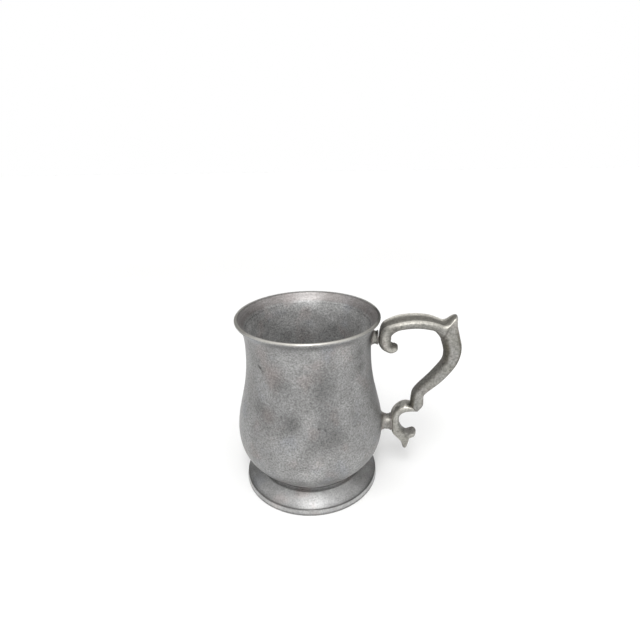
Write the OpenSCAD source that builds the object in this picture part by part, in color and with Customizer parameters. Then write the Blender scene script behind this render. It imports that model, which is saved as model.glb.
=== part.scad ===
// Waisted tankard of cast and soldered metal, with a spreading foot and a double-scroll handle.
// Millimetres. The cup's axis is Z, the table is the plane z = 0 and the handle points along +X.

/* [Body] */
// Height from the table to the top of the rim
body_h = 117.6; // [106:0.1:130]
// Diameter over the rim
rim_d = 90; // [82:0.5:100]
// Angle of the rim's flare from the vertical
flare_angle = 34; // [20:1:45]
// Narrowest diameter of the neck
neck_d = 79; // [72:0.5:86]
// Drop of the narrowest place of the neck below the rim
neck_drop = 20.6; // [16:0.1:26]
// Widest diameter of the belly
belly_d = 95.9; // [88:0.1:106]
// Height of the widest place of the belly
belly_z = 40; // [36:0.5:44]
// Diameter of the bowl where it stands on the foot
bowl_base_d = 65.2; // [61:0.2:70]
// Wall of the two body castings
wall = 2.2; // [1.8:0.1:2.6]
// Depth of the turned line inside the lip, below the rim
lip_depth = 7; // [5:0.5:9]
// Relief of the wall above the turned line
lip_relief = 0.3; // [0.1:0.05:0.5]
// Height of the lapped seam above the widest place of the belly
seam_rise = 16; // [13:0.5:20]
// Height of the lap in the seam
lap_h = 3; // [2:0.5:5]
// Thickness of the floor disc
floor_t = 2.2; // [1.6:0.1:3]
// Width of the bowl's base ring round the floor disc
floor_ledge = 2.7; // [2.3:0.1:3.5]

/* [Foot] */
// Diameter over the foot's edge band
foot_d = 90.2; // [82:0.2:100]
// Height of the foot's seat under the bowl
foot_h = 10.8; // [9.6:0.1:12]
// Height of the edge band
band_h = 3.7; // [2.8:0.1:4.6]
// Draft of the edge band, from its foot to its top
band_draft = 0.5; // [0:0.1:1]
// Width and depth of the turned line above the band
line_w = 0.7; // [0.4:0.1:1]
// Width of the narrow ledge that the foot's seat shows round the bowl
seat_ledge = 0.7; // [0.3:0.1:1.2]
// Width of the cove from that ledge to the crease at the top of the slope
cove_w = 2.4; // [1.6:0.1:3.6]
// Drop of the crease below the foot's seat
crease_drop = 0.7; // [0.4:0.1:1.2]
// Diameter of the opening under the bowl
foot_hole_d = 52; // [44:0.5:56]
// Thickness of the foot's sloping top
foot_t = 2.4; // [1.8:0.1:3]
// Width of the flat ring that stands on the table
rest_w = 5; // [3:0.25:8]

/* [Lugs] */
// Drop of the upper lug's axis below the rim
upper_lug_drop = 15.6; // [12:0.1:22]
// Length of the upper lug from the neck to the scroll
upper_lug_len = 4; // [3:0.1:6]
// Waist diameter of the upper lug
upper_lug_d = 8; // [6.5:0.1:10]
// Height of the lower lug's axis above the widest place of the belly
lower_lug_rise = 0.3; // [-2:0.1:3]
// Length of the lower lug from the belly to the tail scroll
lower_lug_len = 6; // [4.5:0.1:9]
// Waist diameter of the lower lug
lower_lug_d = 10.2; // [8:0.1:11.4]
// Growth in radius of each lug towards its ends
lug_swell = 0.3; // [0.1:0.05:0.8]
// Leg of the solder fillet round each lug's root
root_fillet = 1.7; // [0.8:0.1:2.2]

/* [Handle] */
// Reach of the large scroll from the cup's axis
handle_reach = 94.8; // [86:0.1:102]
// Rise of the arch above the upper lug's axis
arch_rise = 14.5; // [13.5:0.1:17]
// Drop of the scroll's widest place below the upper lug's axis
bend_drop = 5.5; // [3:0.5:8]
// Rise of the thumb spur above the scroll's widest place
spur_rise = 21; // [19:0.2:23.6]
// Distance of the scrolls' joint from the tail's back
heel_out = 14.8; // [13:0.2:17]
// Height of the scrolls' joint above the lower lug's axis
heel_rise = 12.7; // [11.5:0.1:15]
// Reach of the drop finial below the lower lug's axis
finial_drop = 20.6; // [18.5:0.1:23]
// Width of the volute across the handle, beside the upper lug
volute_w = 12.4; // [10:0.2:15]
// Width of the arch across the handle
arch_w = 18; // [14:0.5:19]
// Width of the grip across the handle
grip_w = 13.6; // [11:0.2:15]
// Width of the lower arm across the handle
arm_w = 11; // [9:0.2:13]
// Width of the tail scroll across the handle
tail_w = 10.8; // [9:0.2:13]
// Unit of length in which the two scrolls are drawn
scroll_unit = 1; // [0.95:0.01:1.05]
// Hollow of the scroll's outer face along the arch
arch_hollow = 0.8; // [0:0.1:1]

/* [Solder] */
// Thickness of every solder film
film = 0.4; // [0.2:0.05:0.5]

/* [Hidden] */
$fn = 96;

CASTING_GREY = [0.60, 0.60, 0.61];
HANDLE_GREY = [0.58, 0.57, 0.53];
SOLDER_GREY = [0.70, 0.69, 0.66];

// Samples along one stretch of the body's curve, in a lug's curve and round the lip
CURVE_STEPS = 20;
LUG_STEPS = 10;
LIP_STEPS = 8;
// Samples between two stations of a scroll and round its section
SCROLL_STEPS = 4;
SECTION_STEPS = 20;
// Squareness of a scroll's rounded section
SECTION_POWER = 3.6;

// Fullness of the body's curve at the ends of its three stretches, as shares of each stretch
BASE_PULL = 0.33;
BELLY_UNDER_PULL = 0.49;
BELLY_OVER_PULL = 0.29;
NECK_UNDER_PULL = 0.5;
NECK_OVER_PULL = 0.87;
FLARE_PULL = 0.2;
// Outward run of the bowl per unit of height at its base
BASE_SLOPE = 1.05;

neck_z = body_h - neck_drop;
upper_lug_z = body_h - upper_lug_drop;
lower_lug_z = belly_z + lower_lug_rise;
bowl_z = foot_h + film;
floor_top = bowl_z + floor_t;
floor_hole_r = bowl_base_d / 2 - floor_ledge;
seam_z = belly_z + seam_rise;
tongue_depth = (wall + film) / 2;
skirt_depth = (wall - film) / 2;

// Curves

function bezier(p, t) =
    pow(1 - t, 3) * p[0] + 3 * pow(1 - t, 2) * t * p[1] + 3 * (1 - t) * t * t * p[2] + pow(t, 3) * p[3];
function bezier_way(p, t) =
    pow(1 - t, 2) * (p[1] - p[0]) + 2 * (1 - t) * t * (p[2] - p[1]) + t * t * (p[3] - p[2]);
function spline(a, b, c, d, t) =
    b + 0.5 * t * (c - a + t * (2 * a - 5 * b + 4 * c - d + t * (3 * (b - c) + d - a)));

// Body: three stretches of outer curve, from the foot to the belly, to the neck and to the rim

lip_centre = [(rim_d - wall) / 2, body_h - wall / 2];
lip_way = [sin(flare_angle), cos(flare_angle)];
lip_out = [lip_way[1], -lip_way[0]];
base_point = [bowl_base_d / 2, bowl_z];
belly_point = [belly_d / 2, belly_z];
neck_point = [neck_d / 2, neck_z];
rim_point = lip_centre + lip_out * wall / 2;
bowl_span = belly_z - bowl_z;
waist_span = neck_z - belly_z;
flare_span = rim_point[1] - neck_z;

BODY_CURVE = [
    [base_point, base_point + bowl_span * BASE_PULL * [BASE_SLOPE, 1],
     belly_point - [0, bowl_span * BELLY_UNDER_PULL], belly_point],
    [belly_point, belly_point + [0, waist_span * BELLY_OVER_PULL],
     neck_point - [0, waist_span * NECK_UNDER_PULL], neck_point],
    [neck_point, neck_point + [0, flare_span * NECK_OVER_PULL],
     rim_point - flare_span * FLARE_PULL * lip_way, rim_point]
];
BODY_END = len(BODY_CURVE);

// Point of the body's wall at place u along its curve, at a depth below the outer face
function wall_point(u, depth) =
    let (k = min(floor(u), BODY_END - 1))
    let (way = bezier_way(BODY_CURVE[k], u - k))
    bezier(BODY_CURVE[k], u - k) - depth * [way[1], -way[0]] / norm(way);
function wall_run(from, to, depth) =
    let (steps = ceil(abs(to - from) * CURVE_STEPS))
    [for (i = [0:steps]) wall_point(from + (to - from) * i / steps, depth)];

BODY_PLACES = [for (i = [0:BODY_END * CURVE_STEPS]) i / CURVE_STEPS];
OUTER_BY_Z = [for (u = BODY_PLACES) [wall_point(u, 0)[1], wall_point(u, 0)[0]]];
PLACE_BY_Z = [for (u = BODY_PLACES) [wall_point(u, 0)[1], u]];
PLACE_BY_INNER_Z = [for (u = BODY_PLACES) [wall_point(u, wall)[1], u]];
function body_r(z) = lookup(z, OUTER_BY_Z);

seam_low = lookup(seam_z, PLACE_BY_Z);
seam_low_film = lookup(seam_z + film, PLACE_BY_Z);
seam_high = lookup(seam_z + lap_h, PLACE_BY_Z);
seam_high_film = lookup(seam_z + lap_h + film, PLACE_BY_Z);
lip_line = lookup(body_h - lip_depth, PLACE_BY_INNER_Z);
floor_line = lookup(floor_top, PLACE_BY_INNER_Z);

// Rounded top of the lip, from its outer face over to its relieved inner face
LIP_ARC = [for (i = [1:LIP_STEPS - 1])
    let (turn = 180 * i / LIP_STEPS)
    lip_centre + wall / 2 * (cos(turn) * lip_out + sin(turn) * lip_way)];

module neck_casting() {
    color(CASTING_GREY)
    rotate_extrude()
    polygon(concat(
        wall_run(seam_low_film, BODY_END, 0),
        LIP_ARC,
        wall_run(BODY_END, lip_line, wall - lip_relief),
        wall_run(lip_line, seam_high_film, wall),
        wall_run(seam_high_film, seam_low_film, skirt_depth)
    ));
}

module belly_casting() {
    color(CASTING_GREY)
    rotate_extrude()
    polygon(concat(
        wall_run(0, seam_low, 0),
        wall_run(seam_low, seam_high, tongue_depth),
        wall_run(seam_high, floor_line, wall),
        [[floor_hole_r, floor_top], [floor_hole_r, bowl_z]]
    ));
}

module neck_solder() {
    color(SOLDER_GREY)
    rotate_extrude()
    polygon(concat(
        [wall_point(seam_low, 0)],
        wall_run(seam_low, seam_high, tongue_depth),
        [wall_point(seam_high, wall), wall_point(seam_high_film, wall)],
        wall_run(seam_high_film, seam_low_film, skirt_depth),
        [wall_point(seam_low_film, 0)]
    ));
}

module bowl_floor() {
    color(CASTING_GREY)
    translate([0, 0, bowl_z])
    cylinder(r = floor_hole_r - film, h = floor_t);
}

module floor_solder() {
    color(SOLDER_GREY)
    translate([0, 0, bowl_z])
    rotate_extrude()
    translate([floor_hole_r - film, 0])
    square([film, floor_t]);
}

// Whole body as a plain solid, to trim what is soldered to its outside
module body_blank() {
    rotate_extrude()
    polygon(concat([[0, bowl_z]], wall_run(0, BODY_END, 0), [[0, rim_point[1]]]));
}

// Foot

foot_r = foot_d / 2;
band_top_r = foot_r - band_draft;
seat_r = bowl_base_d / 2 + seat_ledge;
crease_r = seat_r + cove_w;
crease_z = foot_h - crease_drop;
slope_z = band_h + line_w;
slope_rise = crease_z - slope_z;
slope_run = band_top_r - line_w - crease_r;
// Shape of the domed slope: its run and rise beside the turned line, and its run and fall beside the crease
EDGE_RUN = 0.3;
EDGE_RISE = 0.37;
CREASE_RUN = 0.34;
CREASE_FALL = 0.33;
SLOPE = [
    [band_top_r - line_w / 2, slope_z],
    [band_top_r - line_w - slope_run * EDGE_RUN, slope_z + slope_rise * EDGE_RISE],
    [crease_r + slope_run * CREASE_RUN, crease_z - slope_rise * CREASE_FALL],
    [crease_r, crease_z]
];
// Broken edge at the bottom of the band
EDGE_BREAK = 0.5;

module foot_ring() {
    color(CASTING_GREY)
    rotate_extrude()
    polygon(concat(
        [[foot_r - EDGE_BREAK, 0], [foot_r, EDGE_BREAK], [band_top_r, band_h]],
        [[band_top_r - line_w, band_h + line_w / 4], [band_top_r - line_w, slope_z - line_w / 4]],
        [for (i = [0:CURVE_STEPS]) bezier(SLOPE, i / CURVE_STEPS)],
        [[seat_r + cove_w / 2, crease_z], [seat_r, (crease_z + foot_h) / 2], [seat_r, foot_h]],
        [[foot_hole_d / 2, foot_h], [foot_hole_d / 2, foot_h - foot_t]],
        [[crease_r, crease_z - foot_t], [foot_r - rest_w, slope_z - foot_t], [foot_r - rest_w, 0]]
    ));
}

module foot_solder() {
    color(SOLDER_GREY)
    translate([0, 0, foot_h])
    rotate_extrude()
    translate([foot_hole_d / 2, 0])
    square([(bowl_base_d - foot_hole_d) / 2, film]);
}

// Lugs: turned bosses with a waist, lying along X between the body and the handle

upper_seat_x = body_r(upper_lug_z) + upper_lug_len;
lower_seat_x = body_r(lower_lug_z) + lower_lug_len;

// Half-outline of a lug: radius and place along its axis between two shares of its length
function lug_radius(waist_d, share) = waist_d / 2 + lug_swell * pow(2 * share - 1, 2);
function lug_run(waist_d, len, from, to) =
    [for (i = [1:LUG_STEPS])
        let (share = from + (to - from) * i / LUG_STEPS)
        [lug_radius(waist_d, share), (len - film) * share]];
function reversed(list) = [for (i = [len(list) - 1:-1:0]) list[i]];

// Turns an outline round a lug's axis, with its root on the body, and trims what lies inside the body
module on_body(z, seat_x, len) {
    difference() {
        translate([seat_x - len, 0, z])
        rotate([0, 90, 0])
        rotate_extrude()
        children();
        body_blank();
    }
}

module lug(z, seat_x, waist_d, len) {
    root_r = lug_radius(waist_d, 0);
    fillet_share = root_fillet / (len - film);
    on_body(z, seat_x, len)
    polygon(concat(
        [[0, -wall], [root_r, -wall], [root_r, 0]],
        lug_run(waist_d, len, 0, fillet_share),
        lug_run(waist_d, len, fillet_share, 1),
        [[0, len - film]]
    ));
}

// Solder fillet round a lug's root, and the film at its outer end
module lug_solder(z, seat_x, waist_d, len) {
    root_r = lug_radius(waist_d, 0);
    fillet_r = root_r + root_fillet;
    body_here = seat_x - len;
    sag = body_here - sqrt(pow(body_here, 2) - pow(fillet_r, 2));
    fillet_share = root_fillet / (len - film);
    on_body(z, seat_x, len)
    polygon(concat(
        [[root_r, 0], [root_r, -wall], [fillet_r, -wall], [fillet_r, -sag]],
        reversed(lug_run(waist_d, len, 0, fillet_share))
    ));
    translate([seat_x - film, 0, z])
    rotate([0, 90, 0])
    cylinder(r = lug_radius(waist_d, 1), h = film);
}

module upper_lug() {
    color(HANDLE_GREY)
    lug(upper_lug_z, upper_seat_x, upper_lug_d, upper_lug_len);
}

module lower_lug() {
    color(HANDLE_GREY)
    lug(lower_lug_z, lower_seat_x, lower_lug_d, lower_lug_len);
}

module upper_lug_solder() {
    color(SOLDER_GREY)
    lug_solder(upper_lug_z, upper_seat_x, upper_lug_d, upper_lug_len);
}

module lower_lug_solder() {
    color(SOLDER_GREY)
    lug_solder(lower_lug_z, lower_seat_x, lower_lug_d, lower_lug_len);
}

// Handle: each scroll is a row of stations, each with its outer point, its inner point, its width at
// both and its hollow. Points are [x, z], drawn from the seat, bend or joint that they belong to in
// units of scroll_unit. Widths are shares of the width of their stretch.

VOLUTE = [upper_seat_x, upper_lug_z];
BEND = [handle_reach, upper_lug_z - bend_drop];
JOINT = [lower_seat_x + heel_out, lower_lug_z + heel_rise];
TAIL = [lower_seat_x, lower_lug_z];
SPUR = BEND + [0, spur_rise];
FINIAL = TAIL - [0, finial_drop];
arch_span = BEND[0] - VOLUTE[0];
ARCH_SHARES = [1, 0.82];

function at(anchor, offset) = anchor + scroll_unit * offset;
function station(outer, inner, widths, hollow = 0) = [outer, inner, widths[0], widths[1], hollow];
// Station of the arch at a share of its span, with its outer face below the crown by a drop
function arch_station(share, drop, thick, lean) =
    let (outer = at(VOLUTE + [arch_span * share, arch_rise], [0, -drop]))
    station(outer, at(outer, thick * [sin(lean), -cos(lean)]), arch_w * ARCH_SHARES, arch_hollow);

SCROLL = [
    station(at(VOLUTE, [13, -6]), at(VOLUTE, [11.8, -4.6]), volute_w * [0.6, 0.56]),
    station(at(VOLUTE, [11.8, -8.4]), at(VOLUTE, [10.4, -4.6]), volute_w * [0.75, 0.71]),
    station(at(VOLUTE, [8, -9.9]), at(VOLUTE, [8.8, -4]), volute_w * [0.85, 0.81]),
    station(at(VOLUTE, [2.8, -7.4]), at(VOLUTE, [8, -2.4]), volute_w * [0.93, 0.85]),
    station(at(VOLUTE, [0.35, -3.4]), at(VOLUTE, [8.2, -0.2]), volute_w * [0.97, 0.89]),
    station(at(VOLUTE, [0, 0]), at(VOLUTE, [8.2, 1]), volute_w * [1, 0.92]),
    station(at(VOLUTE, [0.35, 3.8]), at(VOLUTE, [8.6, 2.4]), volute_w * [1.03, 0.95]),
    station(at(VOLUTE, [2.6, 9]), at(VOLUTE, [9.8, 4]), arch_w * [0.82, 0.74]),
    arch_station(0.19, 2.1, 6.8, 24),
    arch_station(0.34, 0.4, 6.3, 9),
    arch_station(0.48, 0, 6.2, 0),
    arch_station(0.62, 0.9, 6.3, -10),
    station(at(BEND, [-15, 17.7]), at(BEND, [-17.6, 11.5]), arch_w * [0.96, 0.79], arch_hollow),
    station(at(BEND, [-11.4, 16.5]), at(BEND, [-15, 8.9]), arch_w * [0.9, 0.76], arch_hollow),
    station(at(BEND, [-8.6, 17.5]), at(BEND, [-13.7, 7.1]), arch_w * [0.82, 0.75], arch_hollow),
    station(at(SPUR, [-5.6, -0.4]), at(BEND, [-12.8, 5.5]), grip_w * [0.84, 0.93], arch_hollow),
    station(at(SPUR, [-4, -0.6]), at(BEND, [-12.3, 4.4]), grip_w * [0.76, 0.93]),
    station(at(BEND, [-3.6, 15]), at(BEND, [-11.9, 3]), grip_w * [0.9, 0.93]),
    station(at(BEND, [-1.8, 8.3]), at(BEND, [-11.4, 1.4]), grip_w * [1, 0.91]),
    station(at(BEND, [0, 0.7]), at(BEND, [-10.5, -1.4]), grip_w * [1, 0.88]),
    station(at(BEND, [-0.7, -6.4]), at(BEND, [-9.9, -5.3]), grip_w * [1, 0.82]),
    station(at(BEND, [-3.7, -13.9]), at(BEND, [-11, -10.7]), grip_w * [0.91, 0.74]),
    station(at((BEND + JOINT) / 2, [2.5, -1.6]), at((BEND + JOINT) / 2, [-4.5, 1.9]), arm_w * [1.05, 0.85]),
    station(at(JOINT, [7.2, 12]), at(JOINT, [1, 14.8]), arm_w * [1, 0.82]),
    station(at(JOINT, [5.4, 9.2]), at(JOINT, [-1.7, 10.4]), arm_w * [0.98, 0.82]),
    station(at(JOINT, [5.5, 5.8]), at(JOINT, [-2.4, 6]), arm_w * [0.98, 0.82]),
    station(at(JOINT, [5.3, 2]), at(JOINT, [-2.5, 3]), arm_w * [0.98, 0.82]),
    station(at(JOINT, [2.6, -1.9]), at(JOINT, [-2.2, 1.7]), arm_w * [0.96, 0.85])
];

// Slant of the joint: the solder pad and the tail lie one film beyond the end of the large scroll
JOINT_SLANT = [-3.6, -4.8];
joint_step = film * JOINT_SLANT / norm(JOINT_SLANT);
TAIL_JOINT = JOINT + joint_step;

TAIL_SCROLL = [
    station(at(TAIL_JOINT, [-2.2, 1.7]), at(TAIL_JOINT, [2.6, -1.9]), tail_w * [1, 1]),
    station(at(TAIL_JOINT, [-5.4, 2.4]), at(TAIL_JOINT, [-2, -2.3]), tail_w * [1, 0.96]),
    station(at(TAIL, [5.8, 13.7]), at(TAIL, [9.1, 9.5]), tail_w * [1, 0.96]),
    station(at(TAIL, [2.2, 10.5]), at(TAIL, [6.9, 8.3]), tail_w * [1, 0.94]),
    station(at(TAIL, [0.2, 6.3]), at(TAIL, [5.5, 6.2]), tail_w * [1, 0.94]),
    station(at(TAIL, [0, 1.6]), at(TAIL, [5.3, 3]), tail_w * [1, 0.94]),
    station(at(TAIL, [0.2, -3]), at(TAIL, [5.7, -0.4]), tail_w * [1, 0.94]),
    station(at(TAIL, [1.5, -7.8]), at(TAIL, [6.9, -3.4]), tail_w * [0.94, 0.93]),
    station(at(TAIL, [5.2, -12.2]), at(TAIL, [8.3, -5.5]), tail_w * [0.8, 0.91]),
    station(at(FINIAL, [7.6, 4.8]), at(TAIL, [9.4, -6.3]), tail_w * [0.52, 0.91]),
    station(at(FINIAL, [9.2, 0.2]), at(TAIL, [10, -6.6]), tail_w * [0.33, 0.91]),
    station(at(FINIAL, [11.1, 0]), at(TAIL, [10.7, -6.8]), tail_w * [0.31, 0.91]),
    station(at(FINIAL, [12.3, 4.6]), at(TAIL, [11.4, -6.9]), tail_w * [0.5, 0.91]),
    station(at(TAIL, [12.6, -12]), at(TAIL, [12.4, -6.9]), tail_w * [0.74, 0.89]),
    station(at(TAIL, [15.5, -9.9]), at(TAIL, [14.2, -6.4]), tail_w * [0.81, 0.87]),
    station(at(TAIL, [17.5, -7.2]), at(TAIL, [16.3, -5.6]), tail_w * [0.69, 0.76])
];

// One ring of a scroll: a rounded trapezium that spans a station's two points
function power_round(v) = sign(v) * pow(abs(v), 2 / SECTION_POWER);
function ring(s) =
    let (mid = (s[0] + s[1]) / 2)
    let (arm = (s[0] - s[1]) / 2)
    [for (i = [0:SECTION_STEPS - 1])
        let (across = power_round(cos(360 * i / SECTION_STEPS)))
        let (up = power_round(sin(360 * i / SECTION_STEPS)))
        let (w = s[3] + (s[2] - s[3]) * (up + 1) / 2)
        let (sunk = s[4] * max(up, 0) * (1 - across * across) / norm(arm))
        let (p = mid + arm * (up - sunk))
        [p[0], across * w / 2, p[1]]];

function station_at(list, k) = list[max(0, min(len(list) - 1, k))];
function between(list, k, t) =
    [for (j = [0:4]) spline(station_at(list, k - 1)[j], station_at(list, k)[j],
                            station_at(list, k + 1)[j], station_at(list, k + 2)[j], t)];
function smooth(list) = concat(
    [for (k = [0:len(list) - 2], i = [0:SCROLL_STEPS - 1]) between(list, k, i / SCROLL_STEPS)],
    [list[len(list) - 1]]);

// Closed skin over a row of rings
module skin(rings) {
    n = SECTION_STEPS;
    last = len(rings) - 1;
    sides = [for (k = [0:last - 1], i = [0:n - 1], half = [0, 1])
        let (a = k * n + i)
        let (b = k * n + (i + 1) % n)
        half == 0 ? [a, b, b + n] : [a, b + n, a + n]];
    polyhedron(
        points = [for (r = rings, p = r) p],
        faces = concat(sides, [[for (i = [n - 1:-1:0]) i]], [[for (i = [0:n - 1]) last * n + i]])
    );
}

module handle_scroll() {
    color(HANDLE_GREY)
    skin([for (s = smooth(SCROLL)) ring(s)]);
}

module handle_tail() {
    color(HANDLE_GREY)
    skin([for (s = smooth(TAIL_SCROLL)) ring(s)]);
}

module tail_solder() {
    end = SCROLL[len(SCROLL) - 1];
    moved = [end[0] + joint_step, end[1] + joint_step, end[2], end[3], end[4]];
    color(SOLDER_GREY)
    skin([ring(end), ring(moved)]);
}

neck_casting();
belly_casting();
bowl_floor();
foot_ring();
upper_lug();
lower_lug();
handle_scroll();
handle_tail();
neck_solder();
floor_solder();
foot_solder();
upper_lug_solder();
lower_lug_solder();
tail_solder();
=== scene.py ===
"""Looks of a cast and soldered tankard: body, foot, lugs and scroll handle, on a pale stage."""

import math

import bmesh
import bpy
import numpy as np
from bpy.props import FloatProperty, FloatVectorProperty, PointerProperty
from mathutils import Matrix, Vector, noise


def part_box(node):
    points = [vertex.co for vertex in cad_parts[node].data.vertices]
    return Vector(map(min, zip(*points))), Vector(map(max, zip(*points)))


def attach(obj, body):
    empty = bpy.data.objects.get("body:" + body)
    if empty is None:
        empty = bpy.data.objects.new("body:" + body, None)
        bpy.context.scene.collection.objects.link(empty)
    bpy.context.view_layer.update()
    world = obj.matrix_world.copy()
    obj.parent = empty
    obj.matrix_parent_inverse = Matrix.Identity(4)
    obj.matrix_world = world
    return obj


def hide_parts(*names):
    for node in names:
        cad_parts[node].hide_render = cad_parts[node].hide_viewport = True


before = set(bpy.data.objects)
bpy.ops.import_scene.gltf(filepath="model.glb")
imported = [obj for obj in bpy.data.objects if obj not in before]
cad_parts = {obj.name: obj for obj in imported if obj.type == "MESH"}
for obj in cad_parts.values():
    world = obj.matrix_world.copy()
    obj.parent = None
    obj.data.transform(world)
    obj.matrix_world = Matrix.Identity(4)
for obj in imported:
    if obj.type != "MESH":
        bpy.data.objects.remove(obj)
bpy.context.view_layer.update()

bl_info = {
    "name": "Scroll-handled tankard",
    "version": (1, 0, 0),
    "blender": (4, 5, 0),
    "location": "View3D > Sidebar > Tankard",
    "description": "Builds a cast tankard with a scroll handle, piece by piece, and a stage to show it on",
    "category": "Add Mesh",
}

MM = 0.001
BODY = "root"

NECK_LOW, NECK_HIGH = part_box("neck_casting")
BELLY_LOW, BELLY_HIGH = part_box("belly_casting")
FLOOR_LOW, FLOOR_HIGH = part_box("bowl_floor")
FOOT_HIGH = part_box("foot_ring")[1]
UPPER_LUG_LOW, UPPER_LUG_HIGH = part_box("upper_lug")
LOWER_LUG_LOW, LOWER_LUG_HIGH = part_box("lower_lug")

# Points round a turned piece, round a lug, along one stretch of the body and round the lip
AROUND = 240
AROUND_LUG = 96
STRETCH_STEPS = 44
LIP_STEPS = 14
# Rings between two stations of a scroll, points round its section and in each rounded corner of an outline
SCROLL_STEPS = 12
SECTION_POINTS = 72
CORNER_STEPS = 7
SHARP_ANGLE = math.radians(38)
# Points closer than this become one, and a rounded corner takes at most this share of a side
MERGE = 0.001 * MM
CORNER_SHARE = 0.49


def length(label, words, default):
    """A size of the tankard, in metres."""
    return FloatProperty(
        name=label, description=words, default=default, min=0, unit="LENGTH", subtype="DISTANCE", precision=5
    )


def colour(label, words, default):
    """A colour of the tankard's finish or of the stage."""
    return FloatVectorProperty(
        name=label, description=words, default=default, size=3, min=0, max=1, subtype="COLOR"
    )


class TankardSizes(bpy.types.PropertyGroup):
    """Sizes of the tankard's pieces"""

    body_h: length("Height", "From the table to the top of the rim", NECK_HIGH.z)
    rim_d: length("Rim", "Diameter over the rim", 90 * MM)
    flare: FloatProperty(
        name="Flare", description="Angle of the rim from the vertical", subtype="ANGLE",
        default=math.radians(34),
    )
    neck_d: length("Neck", "Narrowest diameter of the neck", 79 * MM)
    neck_drop: length("Neck drop", "From the rim down to the narrowest place", 20.6 * MM)
    belly_d: length("Belly", "Widest diameter of the belly", 2 * BELLY_HIGH.x)
    belly_z: length("Belly height", "Height of the widest place", 40 * MM)
    bowl_base_d: length("Bowl base", "Diameter where the bowl stands on the foot", 65.2 * MM)
    bowl_z: length("Bowl bottom", "Height of the bowl's base", BELLY_LOW.z)
    wall: length("Wall", "Wall of the body castings", 2.2 * MM)
    lip_depth: length("Lip line", "Depth of the turned line inside the lip", 7 * MM)
    lip_relief: length("Lip relief", "Relief of the wall above the turned line", 0.3 * MM)
    seam_z: length("Seam", "Height of the lapped seam on the outside", NECK_LOW.z)
    lap_h: length("Lap", "Height of the lap in the seam", 3 * MM)
    film: length("Film", "Thickness of every solder film", 0.4 * MM)
    floor_ledge: length("Floor ledge", "Width of the bowl's base ring round the floor disc", 2.7 * MM)
    foot_d: length("Foot", "Diameter over the foot's edge band", 2 * FOOT_HIGH.x)
    band_h: length("Band", "Height of the foot's edge band", 3.7 * MM)
    band_draft: length("Band draft", "Draft of the edge band", 0.5 * MM)
    line_w: length("Turned line", "Width and depth of the line above the band", 0.7 * MM)
    seat_ledge: length("Seat ledge", "Ledge of the foot's seat round the bowl", 0.7 * MM)
    cove_w: length("Cove", "Width of the cove under the bowl", 2.4 * MM)
    crease_drop: length("Crease drop", "Drop of the crease below the foot's seat", 0.7 * MM)
    foot_hole_d: length("Foot opening", "Diameter of the opening under the bowl", 52 * MM)
    foot_t: length("Foot wall", "Thickness of the foot's sloping top", 2.4 * MM)
    rest_w: length("Rest", "Width of the flat ring that stands on the table", 5 * MM)
    upper_lug_d: length("Upper lug", "Waist diameter of the upper lug", 8 * MM)
    lower_lug_d: length("Lower lug", "Waist diameter of the lower lug", 10.2 * MM)
    lug_swell: length("Lug swell", "Growth in radius of each lug towards its ends", 0.3 * MM)
    root_fillet: length("Lug fillet", "Leg of the solder fillet round each lug's root", 1.7 * MM)
    handle_reach: length("Handle reach", "From the cup's axis to the outside of the handle", 94.8 * MM)
    arch_rise: length("Arch rise", "Rise of the arch above the upper lug's axis", 14.5 * MM)
    bend_drop: length("Bend drop", "Drop of the widest place below the upper lug's axis", 5.5 * MM)
    spur_rise: length("Spur rise", "Rise of the thumb spur above the widest place", 21 * MM)
    heel_out: length("Heel out", "From the tail's back to the scrolls' joint", 14.8 * MM)
    heel_rise: length("Heel rise", "Height of the joint above the lower lug's axis", 12.7 * MM)
    finial_drop: length("Finial", "Reach of the drop finial below the lower lug's axis", 20.6 * MM)
    volute_w: length("Volute width", "Width of the volute across the handle", 12.4 * MM)
    arch_w: length("Arch width", "Width of the arch across the handle", 18 * MM)
    grip_w: length("Grip width", "Width of the grip across the handle", 13.6 * MM)
    arm_w: length("Arm width", "Width of the lower arm across the handle", 11 * MM)
    tail_w: length("Tail width", "Width of the tail scroll across the handle", 10.8 * MM)
    arch_hollow: length("Arch hollow", "Depth of the channel in the scroll's outer face", 1.3 * MM)
    cast_drift: length("Unevenness", "How far the castings stray from their true shape", 0.07 * MM)


class TankardColours(bpy.types.PropertyGroup):
    """Colours of the tankard's finishes and of its stage"""

    body_dark: colour("Body, dark", "Dark patches of the satin body", (0.238, 0.237, 0.234))
    body_light: colour("Body, light", "Light patches of the satin body", (0.312, 0.312, 0.31))
    body_warm: colour("Body, warm", "Faint pink and brown patches of the body", (0.29, 0.26, 0.251))
    body_cool: colour("Body, cool", "Faint blue patches of the body", (0.26, 0.27, 0.29))
    handle_metal: colour("Handle", "Bare metal of the handle", (0.3, 0.294, 0.27))
    # Also the colour of painted shade on the handle's sides, inner faces and volute
    handle_tarnish_and_shade: colour("Tarnish", "Olive-brown tarnish in the handle's hollows", (0.1, 0.093, 0.075))
    # Also the colour of painted highlights along the handle's edges and on the front of the lip
    handle_rubbed_and_highlight: colour("Handle edges", "Edges that hands have rubbed bright", (0.66, 0.64, 0.58))
    pit: colour("Pits", "Dark pits and dings", (0.07, 0.068, 0.065))
    floor: colour("Stage floor", "Pale floor of the stage", (0.97, 0.97, 0.965))


class TankardSettings(bpy.types.PropertyGroup):
    """Everything about the tankard that can be set"""

    sizes: PointerProperty(type=TankardSizes)
    colours: PointerProperty(type=TankardColours)


# Curves

def bezier(points, t):
    """Points of a cubic curve at the places t."""
    a, b, c, d = np.asarray(points)
    t = np.asarray(t, float)[..., None]
    return (1 - t) ** 3 * a + 3 * (1 - t) ** 2 * t * b + 3 * (1 - t) * t**2 * c + t**3 * d


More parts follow.
